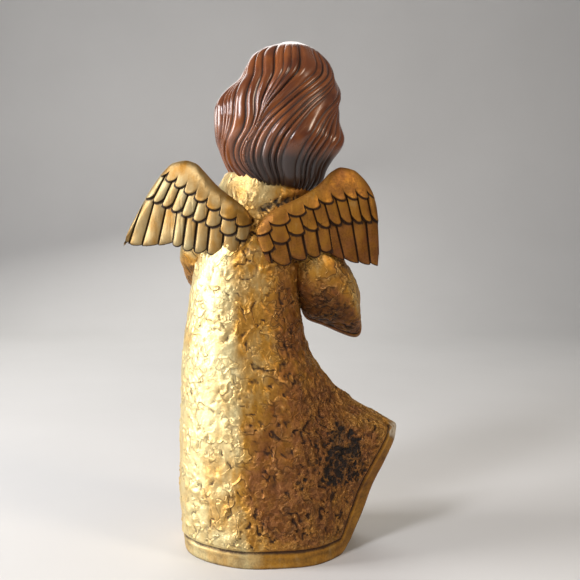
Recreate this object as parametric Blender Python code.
"""A resin angel figurine, 300 mm tall, cast as separate pieces: gown, wings, sleeves, hands, head, hair.

Lengths are in millimetres and become metres when a mesh is made. +Z is up, the angel faces -Y, and its own
right side is -X. The origin is on the resting face, under the middle of the gown's round foot.
"""

import math

import bmesh
import bpy
import numpy as np
from mathutils import Vector

MM = 0.001
GLUE_GAP = 0.3
ROOT = "angel_figurine"

# Gown: height, centre x, half width to +X, half width to -X, depth to +Y (back), depth to -Y (front).
GOWN = (
    (0, 0.0, 52.0, 51.0, 49.0, 42.0),
    (30, 1.0, 53.0, 49.0, 47.0, 41.0),
    (60, 3.0, 51.0, 45.0, 44.0, 38.5),
    (90, 6.5, 46.5, 40.0, 40.0, 35.0),
    (120, 11.0, 40.5, 34.0, 35.0, 31.0),
    (150, 12.0, 35.2, 30.5, 30.0, 28.0),
    (175, 9.0, 33.0, 30.5, 27.5, 26.0),
    (192, 6.0, 31.0, 29.5, 25.0, 23.0),
    (205, 4.0, 27.0, 26.0, 21.5, 19.0),
    (216, 2.0, 24.5, 23.5, 19.5, 16.5),
    (226, 0.5, 22.0, 21.0, 17.5, 15.0),
)
# The skirt is blown out to -X: height, and how far the flare stands out there.
FLARE = (
    (0, 5), (6, 10), (20, 17), (36, 22), (54, 32), (66, 38.5), (71, 39.7),
    (77, 30.6), (82, 21), (89, 14), (96, 8.2), (105, 4.6), (114, 1.8), (126, 0), (230, 0),
)
FLARE_WIDTH = math.radians(20)
# Degrees round from -X, and the height of the hem there: it lifts off the ground under the flare.
HEM = ((0, 71), (2, 69.5), (4, 62), (6.5, 50), (11, 34), (16, 19), (22, 6), (28, 1), (33, 0), (180, 0))
# Vertical folds: degrees round from +X, half width in degrees, height at the foot of the gown.
FOLDS = (
    (77, 12, 2.0), (98, 10, -1.4), (122, 12, 1.6), (30, 14, 1.0),
    (-20, 9, 1.6), (-42, 8, -2.0), (-62, 9, 2.2), (-84, 8, -2.4), (-104, 9, 2.4), (-128, 9, -2.0),
    (-150, 9, 1.5),
)
FOLDS_END = 190.0
WALL = 4.0
COLLAR_DIP = 9.0
COLLAR_FLOOR = 205.0
CAVITY_TOP = 198.0
CAVITY_DOME = 20.0
COLLAR_WALL = 4.5

UNDERSKIRT_RADIUS = 41.0
UNDERSKIRT_WALL = 3.0
UNDERSKIRT_HALF_ANGLE = math.radians(58)
UNDERSKIRT_TOP = 86.0
PLEATS = 5
PLEAT_DEPTH = 1.2

FELT_THICKNESS = 1.2
PLATE_BOTTOM = FELT_THICKNESS + GLUE_GAP
PLATE_THICKNESS = 3.0
VENT_RADIUS = 6.0
VENT_AT = (22.0, -12.0)

# Wings: x, top edge, bottom edge, middle depth, thickness.
LEFT_WING = (
    (8.5, 196.0, 189.0, 28.0, 3.0), (11.0, 201.0, 182.0, 28.0, 7.0), (17.0, 206.0, 175.5, 27.5, 9.0),
    (30.0, 217.0, 175.5, 23.5, 10.5), (39.0, 228.0, 177.0, 20.5, 11.0), (46.5, 231.0, 177.5, 17.5, 11.0),
    (58.0, 225.0, 182.5, 13.0, 9.0), (69.0, 211.0, 180.5, 8.5, 7.5), (81.0, 191.0, 180.5, 3.5, 6.0),
    (87.0, 184.0, 182.5, 1.0, 1.5),
)
RIGHT_WING = (
    (6.0, 190.5, 186.0, 28.0, 3.0), (4.0, 194.0, 182.0, 28.0, 7.0), (-1.0, 198.5, 176.0, 28.0, 9.0),
    (-8.0, 203.0, 170.5, 27.0, 10.0), (-24.0, 212.0, 172.5, 23.0, 11.0), (-34.0, 221.5, 175.0, 19.0, 11.0),
    (-40.0, 226.0, 174.5, 17.0, 10.5), (-47.0, 226.0, 171.0, 14.0, 9.5), (-56.0, 220.5, 170.0, 10.0, 8.5),
    (-62.0, 211.0, 169.5, 7.0, 7.0), (-66.0, 195.0, 170.0, 4.0, 5.0), (-67.0, 182.0, 173.0, 3.0, 1.5),
)

# Bell sleeves, shoulder to cuff: centre, half width, half height, heading (degrees round from +X),
# pitch (degrees below level), drop of the tip.
LEFT_SLEEVE = (
    ((27.0, 4.0, 193.0), 9.0, 8.0, -75, 70, 0.0), ((36.0, 1.0, 184.5), 14.0, 12.5, -85, 52, 0.0),
    ((39.0, -7.5, 176.5), 15.5, 14.5, -97, 34, 0.0), ((36.0, -19.0, 169.5), 16.0, 16.5, -112, 14, 1.0),
    ((31.0, -28.5, 166.0), 15.5, 18.0, -122, 0, 2.5),
)
RIGHT_SLEEVE = (
    ((-17.0, 4.0, 194.0), 9.0, 8.0, -100, 75, 0.0), ((-25.0, 5.0, 181.0), 13.5, 13.0, -98, 65, 0.0),
    ((-31.5, 2.5, 167.0), 16.0, 15.5, -92, 50, 0.5), ((-37.0, -4.5, 155.5), 17.5, 18.0, -84, 28, 2.0),
    ((-40.5, -14.0, 147.5), 18.0, 19.5, -76, 5, 5.0),
)
CUFF_RIM = 2.2
# Tight undersleeves from inside the cuffs to the wrists: start, end, radius there.
LEFT_FOREARM = ((39.0, -18.0, 165.5), (4.0, -37.0, 167.9), 6.4, 5.2)
RIGHT_FOREARM = ((-37.5, -2.1, 149.0), (-13.8, -32.8, 164.8), 6.4, 5.2)
WRIST_RADIUS = 3.6
WRIST_SOCKET = 4.0
# Praying hands: the palms meet in the plane x = HANDS_X. Height, depth, half depth, thickness of one hand.
HANDS_X = -5.8
HAND = (
    (166.0, -40.0, 4.6, 4.6), (170.0, -41.0, 6.2, 5.4), (175.0, -42.4, 8.4, 6.0), (181.0, -44.0, 9.0, 5.6),
    (187.0, -45.8, 7.8, 4.8), (193.0, -47.6, 6.2, 4.2), (198.0, -49.0, 4.4, 3.4), (200.5, -49.6, 1.6, 1.6),
)

# Head and neck: height, centre x, centre y, half width, depth to the front, depth to the back.
HEAD = (
    (205.4, 1.5, 0.5, 11.5, 8.5, 9.8), (209.0, 0.9, 0.4, 12.0, 9.0, 10.2),
    (213.0, -0.4, 0.2, 11.4, 9.4, 10.2),
    (219.0, -2.6, 0.0, 10.6, 10.0, 10.4), (223.5, -4.2, -0.8, 10.6, 12.5, 10.8),
    (226.0, -5.8, -1.6, 11.6, 19.0, 12.0), (230.0, -7.6, -2.0, 17.0, 23.4, 15.5),
    (237.0, -9.2, -2.0, 21.8, 25.0, 19.5), (246.0, -10.4, -2.0, 24.6, 25.6, 22.6),
    (256.0, -11.4, -2.0, 25.6, 25.4, 24.6), (266.0, -12.2, -1.6, 25.4, 25.2, 25.2),
    (276.0, -13.0, -1.0, 23.0, 23.0, 23.4), (285.0, -13.6, -0.6, 17.4, 17.4, 18.0),
    (291.0, -14.0, -0.4, 9.0, 9.0, 9.4), (293.0, -14.0, -0.4, 2.0, 2.0, 2.0),
)
FACE_HEADING = math.radians(-110)
# Hair: height, centre x, half width, depth to the back, depth to the front.
HAIR = (
    (215, -7.0, 22.0, 21.0, 20.0), (219, -6.8, 26.0, 25.0, 24.0), (225, -6.6, 29.6, 28.4, 26.0),
    (233, -7.4, 34.0, 31.8, 28.0), (243, -7.0, 37.4, 34.4, 29.0), (250, -5.6, 37.2, 35.0, 29.5),
    (258, -5.7, 36.9, 35.0, 30.0), (265, -7.6, 35.8, 34.4, 31.0), (270, -9.6, 34.0, 33.8, 31.2),
    (277, -12.9, 30.0, 31.6, 30.6), (284, -13.4, 26.6, 27.6, 27.6), (290, -13.6, 22.4, 22.8, 22.8),
    (295, -13.9, 17.2, 17.2, 17.2), (299, -14.2, 10.2, 10.0, 10.0), (301, -14.4, 2.0, 2.0, 2.0),
)
# Degrees round from the way the face looks, and the height of the hair's edge there.
HAIR_EDGE = (
    (0, 281), (15, 280), (28, 275), (38, 264), (46, 248), (54, 235), (64, 229), (90, 226.5),
    (125, 220), (180, 216.5),
)
HAIR_UNDER_POLE = 234.0

PIN_RADIUS = 1.5
PIN_HOLE_RADIUS = PIN_RADIUS + GLUE_GAP
# Wing pins run along Y: x, z, start and end in y.
WING_PINS = {
    "left_wing_pin_upper": (22.0, 197.0, 12.0, 25.0),
    "left_wing_pin_lower": (18.0, 185.0, 18.5, 28.0),
    "right_wing_pin_upper": (-9.0, 195.0, 13.0, 27.5),
    "right_wing_pin_lower": (-7.0, 181.0, 18.0, 28.0),
}
# Sleeve pins run along X: y, z, start and end in x.
SLEEVE_PINS = {
    "left_sleeve_pin": (-1.0, 184.0, 31.5, 45.0),
    "right_sleeve_pin": (3.5, 183.0, -29.0, -17.0),
}
DOWEL_RADIUS = 4.0
DOWEL_BOTTOM = 201.0
DOWEL_TOP = 224.0
DOWEL_AT = (-0.6, 0.0)

AROUND_GOWN = 64
AROUND_HEAD = 30
AROUND_HAIR = 36
AROUND_WING = 16
AROUND_SLEEVE = 22

# Colour, metallic, roughness.
FINISHES = {
    "gold_paint": ((0.62, 0.40, 0.10), 0.85, 0.42),
    "hair_paint": ((0.20, 0.065, 0.025), 0.0, 0.28),
    "skin_paint": ((0.78, 0.52, 0.38), 0.0, 0.45),
    "board": ((0.45, 0.36, 0.25), 0.0, 0.85),
    "felt": ((0.06, 0.11, 0.07), 0.0, 0.95),
    "steel": ((0.60, 0.60, 0.62), 1.0, 0.35),
    "dowel_wood": ((0.62, 0.45, 0.27), 0.0, 0.65),
}


def curve_through(table, at):
    """Smooth values between the rows of a table, whose first column is the place. They never overshoot."""
    rows = np.array(table, float)
    if rows[0, 0] > rows[-1, 0]:
        rows = rows[::-1]
    place, values = rows[:, 0], rows[:, 1:]
    steps = np.diff(place)[:, None]
    slopes = np.diff(values, axis=0) / steps
    same_way = slopes[:-1] * slopes[1:] > 0
    total = slopes[:-1] + slopes[1:]
    tangents = np.zeros_like(values)
    tangents[1:-1] = np.where(same_way, 2 * slopes[:-1] * slopes[1:] / np.where(total == 0, 1, total), 0)
    tangents[0], tangents[-1] = slopes[0], slopes[-1]
    at = np.clip(np.atleast_1d(np.asarray(at, float)), place[0], place[-1])
    low = np.clip(np.searchsorted(place, at, side="right") - 1, 0, len(place) - 2)
    step = steps[low]
    t = ((at - place[low])[:, None]) / step
    blend = t * t * (3 - 2 * t)
    leaving = t * (1 - t) ** 2 * step * tangents[low]
    arriving = t * t * (t - 1) * step * tangents[low + 1]
    return (1 - blend) * values[low] + blend * values[low + 1] + leaving + arriving


def turned_from(angle, heading):
    """How far an angle is from a heading, between -pi and pi."""
    return (angle - heading + math.pi) % (2 * math.pi) - math.pi


def oval_radius(angle, right, left, back, front):
    """Radius of an oval with four different half axes: +X, -X, +Y and -Y."""
    cos, sin = np.cos(angle), np.sin(angle)
    across = np.where(cos > 0, right, left)
    deep = np.where(sin > 0, back, front)
    return 1 / np.sqrt((cos / across) ** 2 + (sin / deep) ** 2)


def fold_height(angle, z):
    """How far the vertical folds stand out of the gown."""
    fade = np.clip(1 - z / FOLDS_END, 0, 1) ** 0.7
    total = np.zeros_like(angle)
    for middle, width, height in FOLDS:
        total += height * np.exp(-((turned_from(angle, math.radians(middle)) / math.radians(width)) ** 2))
    return total * fade


def gown_radius(angle, z):
    """Outer radius of the gown about its centre line."""
    row = curve_through(GOWN, z)
    radius = oval_radius(angle, row[:, 1], row[:, 2], row[:, 3], row[:, 4])
    off_flare = turned_from(angle, math.pi)
    flare = curve_through(FLARE, z)[:, 0] * np.exp(-((off_flare / FLARE_WIDTH) ** 2))
    return radius + flare + fold_height(angle, z)


def ring_at(angle, radius, z, centre_x, centre_y=0.0):
    """Points of one ring about a vertical line."""
    z = np.broadcast_to(z, angle.shape)
    return np.stack([centre_x + radius * np.cos(angle), centre_y + radius * np.sin(angle), z], axis=1)


def gown_ring(angle, z, inset=0.0, share=1.0):
    """A ring of the gown's skin, at its own height for each angle, moved in by inset."""
    z = np.broadcast_to(np.asarray(z, float), angle.shape)
    radius = (gown_radius(angle, z) - inset) * share
    return ring_at(angle, radius, z, curve_through(GOWN, z)[:, 0])


def hem_height(angle):
    return curve_through(HEM, np.degrees(np.abs(turned_from(angle, math.pi))))[:, 0]


def collar_height(angle):
    """The collar stands highest at the back and dips at the front."""
    frontness = np.clip(-np.sin(angle), 0, 1) ** 1.5
    return 225.0 - COLLAR_DIP * frontness


def around_gown():
    """Angles round the gown, closer together at the flare."""
    even = np.linspace(-math.pi, math.pi, AROUND_GOWN, endpoint=False)
    return math.pi + even - 0.7 * np.sin(even)


def material(name, finish):
    """A piece's own material, in one of the figurine's finishes."""
    colour, metallic, roughness = FINISHES[finish]
    made = bpy.data.materials.new(f"{name}_{finish}")
    made.use_nodes = True
    shader = made.node_tree.nodes["Principled BSDF"]
    shader.inputs["Base Color"].default_value = (*colour, 1)
    shader.inputs["Metallic"].default_value = metallic
    shader.inputs["Roughness"].default_value = roughness
    return made


def collection(name):
    found = bpy.data.collections.get(name)
    if found is None:
        found = bpy.data.collections.new(name)
        bpy.context.scene.collection.children.link(found)
    return found


def add_object(name, mesh, finish):
    """An object in the figurine's collection, or a hidden cutter where finish is None."""
    made = bpy.data.objects.new(name, mesh)
    made.parent = bpy.data.objects[ROOT]
    if finish is None:
        collection("cutters").objects.link(made)
        made.hide_render = True
        made.display_type = "WIRE"
        return made
    mesh.materials.append(material(name, finish))
    mesh.shade_smooth()
    mesh.set_sharp_from_angle(angle=math.radians(40))
    collection(ROOT).objects.link(made)
    return made


def skin(name, rings, finish):
    """A closed solid through rings of equally many points, with each end closed by a fan to its middle."""
    rings = [np.asarray(r, float) for r in rings]
    count = len(rings[0])
    made = bmesh.new()
    rows = [[made.verts.new(tuple(p * MM)) for p in ring] for ring in rings]
    for lower, upper in zip(rows, rows[1:]):
        for i in range(count):
            j = (i + 1) % count
            made.faces.new((lower[i], lower[j], upper[j], upper[i]))
    for row, ring in ((rows[0], rings[0]), (rows[-1], rings[-1])):
        middle = made.verts.new(tuple(ring.mean(axis=0) * MM))
        for i in range(count):
            made.faces.new((row[i], row[(i + 1) % count], middle))
    bmesh.ops.recalc_face_normals(made, faces=made.faces)
    mesh = bpy.data.meshes.new(name)
    made.to_mesh(mesh)
    made.free()
    return add_object(name, mesh, finish)


def cylinder(name, start, end, radius, finish, end_radius=None, sides=20):
    """A round bar, or a taper, between two points."""
    start, end = np.array(start, float), np.array(end, float)
    length = float(np.linalg.norm(end - start))
    made = bmesh.new()
    bmesh.ops.create_cone(
        made, cap_ends=True, segments=sides, depth=length * MM,
        radius1=radius * MM, radius2=(radius if end_radius is None else end_radius) * MM,
    )
    mesh = bpy.data.meshes.new(name)
    made.to_mesh(mesh)
    made.free()
    bar = add_object(name, mesh, finish)
    bar.rotation_mode = "QUATERNION"
    bar.rotation_quaternion = Vector(end - start).to_track_quat("Z", "Y")
    bar.location = (start + end) / 2 * MM
    return bar


def cut(target, *cutters):
    for cutter in cutters:
        step = target.modifiers.new("cut_" + cutter.name, "BOOLEAN")
        step.operation = "DIFFERENCE"
        step.solver = "EXACT"
        step.object = cutter


def gown_shell():
    """The hollow casting: collar recess, outer skin down to the hem, and the cavity up inside it."""
    angle = around_gown()
    top = collar_height(angle)
    hem = hem_height(angle)
    rings = [gown_ring(angle, COLLAR_FLOOR, share=0.3)]
    rings.append(gown_ring(angle, COLLAR_FLOOR, inset=COLLAR_WALL + 4.0))
    for z in (213.0, 220.0):
        height = np.minimum(z, top - 1.5)
        rings.append(gown_ring(angle, height, inset=COLLAR_WALL))
    rings.append(gown_ring(angle, top, inset=COLLAR_WALL - 1.0))
    rings.append(gown_ring(angle, top, inset=1.0))
    rings += outer_rings(angle, 0.0)
    top_of_wall = CAVITY_TOP - CAVITY_DOME
    for share in np.linspace(0.0, 1.0, 8) ** 0.9:
        rings.append(gown_ring(angle, hem + (top_of_wall - hem) * share, inset=WALL))
    for rise in (0.5, 0.85):
        rings.append(gown_ring(angle, top_of_wall + CAVITY_DOME * rise, WALL + 3, math.sqrt(1 - rise**2)))
    rings.append(gown_ring(angle, CAVITY_TOP, share=0.1))
    return skin("gown_shell", rings, "gold_paint")


def outer_rings(angle, inset):
    top = collar_height(angle) - 1.5
    hem = hem_height(angle)
    return [gown_ring(angle, top + (hem - top) * share, inset) for share in np.linspace(0.0, 1.0, 19)]


def gown_cutter():
    """The gown's outer form as one solid, a glue gap larger all round, to cut the seats of its neighbours."""
    angle = around_gown()
    top = collar_height(angle) + GLUE_GAP
    rings = [gown_ring(angle, top, inset=5.0), gown_ring(angle, top, inset=0.7)]
    rings += outer_rings(angle, -GLUE_GAP)
    return skin("gown_cutter", rings, None)


def underskirt_radius(angle, z):
    """Pleated in the middle, and close to the gown's inner wall at both sides."""
    off = np.abs(turned_from(angle, math.pi)) / UNDERSKIRT_HALF_ANGLE
    pleat = PLEAT_DEPTH * np.cos(off * PLEATS * math.pi) * (1 - off**4)
    inner_wall = gown_radius(angle, z) - WALL - 0.8
    return np.minimum(UNDERSKIRT_RADIUS + 5.0 * off**2 + pleat, inner_wall)


def underskirt():
    """A curved panel that closes the raised flare behind its hem: the outline of its plan, carried up."""
    count = 41
    angle = np.linspace(math.pi - UNDERSKIRT_HALF_ANGLE, math.pi + UNDERSKIRT_HALF_ANGLE, count)
    rings = []
    for z in np.linspace(0.0, UNDERSKIRT_TOP, 4):
        outer = underskirt_radius(angle, np.full(count, z))
        centre = curve_through(GOWN, z)[0, 0]
        front = ring_at(angle, outer, z, centre)
        back = ring_at(angle, outer - UNDERSKIRT_WALL, z, centre)
        rings.append(np.concatenate([front, back[::-1]]))
    return skin_with_flat_ends("underskirt", rings, "gold_paint")


def skin_with_flat_ends(name, rings, finish):
    """As skin, with each end closed by one flat face, for an outline that a fan can't fill."""
    count = len(rings[0])
    made = bmesh.new()
    rows = [[made.verts.new(tuple(np.asarray(p) * MM)) for p in ring] for ring in rings]
    for lower, upper in zip(rows, rows[1:]):
        for i in range(count):
            j = (i + 1) % count
            made.faces.new((lower[i], lower[j], upper[j], upper[i]))
    made.faces.new(rows[0])
    made.faces.new(rows[-1])
    bmesh.ops.recalc_face_normals(made, faces=made.faces)
    mesh = bpy.data.meshes.new(name)
    made.to_mesh(mesh)
    made.free()
    return add_object(name, mesh, finish)


def base_outline(inset):
    """Plan of what closes the foot: inside the gown's wall, and inside the underskirt at the flare."""
    angle = np.linspace(-math.pi, math.pi, 56, endpoint=False)
    foot = np.zeros_like(angle)
    radius = gown_radius(angle, foot + PLATE_BOTTOM) - WALL
    behind_panel = underskirt_radius(angle, foot) - UNDERSKIRT_WALL
    near = np.abs(turned_from(angle, math.pi)) < UNDERSKIRT_HALF_ANGLE + math.radians(8)
    radius = np.where(near, np.minimum(radius, behind_panel), radius) - inset
    return angle, radius


def base_plate():
    angle, radius = base_outline(1.2)
    heights = (PLATE_BOTTOM, PLATE_BOTTOM + PLATE_THICKNESS)
    plate = skin("base_plate", [ring_at(angle, radius, z, 0.0) for z in heights], "board")
    vent_low = (*VENT_AT, PLATE_BOTTOM - 2)
    vent_high = (*VENT_AT, PLATE_BOTTOM + PLATE_THICKNESS + 2)
    cut(plate, cylinder("vent_cutter", vent_low, vent_high, VENT_RADIUS, None))
    return plate


def felt_pad():
    angle, radius = base_outline(1.8)
    return skin("felt_pad", [ring_at(angle, radius, z, 0.0) for z in (0.0, FELT_THICKNESS)], "felt")


def wing(name, stations):
    """Upright sections along the span: thick at the leading edge, thin at the feather tips."""
    around = np.linspace(0, 2 * math.pi, AROUND_WING, endpoint=False)
    rings = []
    for x, top, bottom, middle, thick in stations:
        height = np.cos(around)
        lean = 0.72 + 0.28 * height
        z = (top + bottom) / 2 + (top - bottom) / 2 * height
        y = middle + thick / 2 * np.sin(around) * lean
        rings.append(np.stack([np.full_like(z, x), y, z], axis=1))
    return skin(name, rings, "gold_paint")


def sleeve_ring(stations, along, outward, shrink=0.0):
    """An oval across the way the arm runs, with its outer lower corner pulled down and out."""
    rows = [(i, *centre, *rest) for i, (centre, *rest) in enumerate(stations)]
    row = curve_through(rows, along)[0]
    centre, half_width, half_height, tip = row[:3], row[3], row[4], row[7]
    heading, pitch = math.radians(row[5]), math.radians(row[6])
    across = np.array([-math.sin(heading), math.cos(heading), 0.0]) * outward
    up = np.array([math.cos(heading) * math.sin(pitch), math.sin(heading) * math.sin(pitch), math.cos(pitch)])
    around = np.linspace(0, 2 * math.pi, AROUND_SLEEVE, endpoint=False)
    low_corner = np.exp(-((turned_from(around, math.radians(-58)) / 0.55) ** 2))
    reach = 1 + tip * low_corner / half_height
    wide = (half_width - shrink) * np.cos(around) * reach
    high = (half_height - shrink) * np.sin(around) * reach
    return centre + np.outer(wide, across) + np.outer(high, up)


def sleeve(name, stations, outward, forearm):
    """A bell sleeve whose mouth is hollow, with a socket at the bottom of the mouth for the forearm."""
    mouth = len(stations) - 1
    rings = [sleeve_ring(stations, along, outward) for along in np.linspace(0, mouth, 8)]
    rings.append(sleeve_ring(stations, mouth, outward, shrink=CUFF_RIM))
    rings.append(sleeve_ring(stations, mouth - 0.5, outward, shrink=CUFF_RIM + 2.0))
    rings.append(sleeve_ring(stations, mouth - 1.0, outward, shrink=CUFF_RIM + 5.0))
    made = skin(name, rings, "gold_paint")
    start, end, radius, _ = forearm
    way = np.array(end) - np.array(start)
    way = way / np.linalg.norm(way)
    start = np.array(start)
    socket = cylinder(name + "_socket", start - way * GLUE_GAP, start + way * 40, radius + GLUE_GAP, None)
    cut(made, socket)
    return made


def undersleeve(name, forearm, *cutters):
    start, end, radius, end_radius = forearm
    made = cylinder(name, start, end, radius, "gold_paint", end_radius)
    cut(made, *cutters)
    return made


def hand(name, side, forearm):
    """One of two hands pressed palm to palm, with a wrist that enters the undersleeve."""
    around = np.linspace(0, 2 * math.pi, 14, endpoint=False)
    rings = []
    for z, y, half_depth, thick in HAND:
        bulge = np.clip(np.cos(around), -0.35, 1)
        x = HANDS_X + side * (GLUE_GAP / 2 + thick * (bulge + 0.35) / 1.35)
        rings.append(np.stack([x, y + half_depth * np.sin(around), np.full_like(x, z)], axis=1))
    palm = skin(name, rings, "skin_paint")
    wrist_start, wrist_end = wrist_line(side, forearm)
    wrist = cylinder(name + "_wrist", wrist_start, wrist_end, WRIST_RADIUS, None, sides=14)
    join = palm.modifiers.new("wrist", "BOOLEAN")
    join.operation = "UNION"
    join.solver = "EXACT"
    join.object = wrist
    return palm


def wrist_line(side, forearm):
    """From inside the end of the undersleeve to inside the palm."""
    start, end = np.array(forearm[0]), np.array(forearm[1])
    way = (end - start) / np.linalg.norm(end - start)
    palm = np.array([HANDS_X + side * 4.8, -40.5, 170.5])
    return end - way * WRIST_SOCKET, palm


def wrist_cutter(name, side, forearm):
    start, end = wrist_line(side, forearm)
    way = (end - start) / np.linalg.norm(end - start)
    return cylinder(name, start - way * GLUE_GAP, end + way * 4, WRIST_RADIUS + GLUE_GAP, None, sides=14)


def head_rings(grow):
    angle = np.linspace(-math.pi, math.pi, AROUND_HEAD, endpoint=False)
    rings = []
    for z, x, y, half_width, front, back in HEAD:
        turned = angle - (FACE_HEADING + math.pi / 2)
        radius = oval_radius(turned, half_width, half_width, back, front)
        rings.append(ring_at(angle, radius + grow, z, x, y))
    return rings


def head():
    return skin("head", head_rings(0.0), "skin_paint")


def hair():
    """A solid cap of hair, cut out by the head, the collar and the neck."""
    angle = np.linspace(-math.pi, math.pi, AROUND_HAIR, endpoint=False)
    off_face = np.degrees(np.abs(turned_from(angle, FACE_HEADING)))
    edge = curve_through(HAIR_EDGE, off_face)[:, 0]
    top = HAIR[-1][0]
    rings = []
    for share in np.sin(np.linspace(0.06, 1.0, 14) * math.pi / 2) ** 1.5:
        z = top + (edge - top) * share
        row = curve_through(HAIR, z)
        radius = oval_radius(angle, row[:, 1], row[:, 1], row[:, 2], row[:, 3])
        rings.append(ring_at(angle, radius, z, row[:, 0]))
    for share, rise in ((0.8, 1.0), (0.45, 2.0)):
        row = curve_through(HAIR, edge)
        radius = oval_radius(angle, row[:, 1], row[:, 1], row[:, 2], row[:, 3]) * share
        rings.append(ring_at(angle, radius, edge + rise, row[:, 0]))
    rings.append(ring_at(angle, np.full_like(angle, 2.0), HAIR_UNDER_POLE, HAIR[1][1]))
    made = skin("hair", rings, "hair_paint")
    head_cutter = skin("head_cutter", head_rings(GLUE_GAP), None)
    cut(made, head_cutter, bpy.data.objects["gown_cutter"])
    return made


def pins():
    """Steel pins for the wings and sleeves, each with a cutter for its hole."""
    holes = {}
    for name, (x, z, start, end) in WING_PINS.items():
        cylinder(name, (x, start, z), (x, end, z), PIN_RADIUS, "steel", sides=12)
        holes[name] = cylinder(
            name + "_hole", (x, start - 8, z), (x, end + GLUE_GAP, z), PIN_HOLE_RADIUS, None, sides=12,
        )
    for name, (y, z, start, end) in SLEEVE_PINS.items():
        cylinder(name, (start, y, z), (end, y, z), PIN_RADIUS, "steel", sides=12)
        holes[name] = cylinder(
            name + "_hole", (start - GLUE_GAP, y, z), (end + GLUE_GAP, y, z), PIN_HOLE_RADIUS, None, sides=12,
        )
    return holes


def neck_dowel():
    low, high = (*DOWEL_AT, DOWEL_BOTTOM), (*DOWEL_AT, DOWEL_TOP)
    cylinder("neck_dowel", low, high, DOWEL_RADIUS, "dowel_wood")
    hole_low, hole_high = (*DOWEL_AT, DOWEL_BOTTOM - GLUE_GAP), (*DOWEL_AT, DOWEL_TOP + GLUE_GAP)
    return cylinder("neck_dowel_hole", hole_low, hole_high, DOWEL_RADIUS + GLUE_GAP, None)


def build():
    for old in list(bpy.data.objects):
        bpy.data.objects.remove(old)
    collection(ROOT).objects.link(bpy.data.objects.new(ROOT, None))
    gown = gown_shell()
    seat = gown_cutter()
    underskirt()
    base_plate()
    felt_pad()
    holes = pins()
    dowel_hole = neck_dowel()
    for side_name, side, forearm, sleeve_stations in (
        ("left", 1, LEFT_FOREARM, LEFT_SLEEVE),
        ("right", -1, RIGHT_FOREARM, RIGHT_SLEEVE),
    ):
        arm = sleeve(side_name + "_sleeve", sleeve_stations, side, forearm)
        cut(arm, seat, holes[side_name + "_sleeve_pin"])
        hand(side_name + "_hand", side, forearm)
        socket = wrist_cutter(side_name + "_wrist_socket", side, forearm)
        undersleeve(side_name + "_undersleeve", forearm, socket, seat)
    for side_name, stations in (("left", LEFT_WING), ("right", RIGHT_WING)):
        upper, lower = holes[side_name + "_wing_pin_upper"], holes[side_name + "_wing_pin_lower"]
        cut(wing(side_name + "_wing", stations), seat, upper, lower)
    skull = head()
    hair()
    cut(skull, dowel_hole)
    cut(gown, dowel_hole, *holes.values())


build()
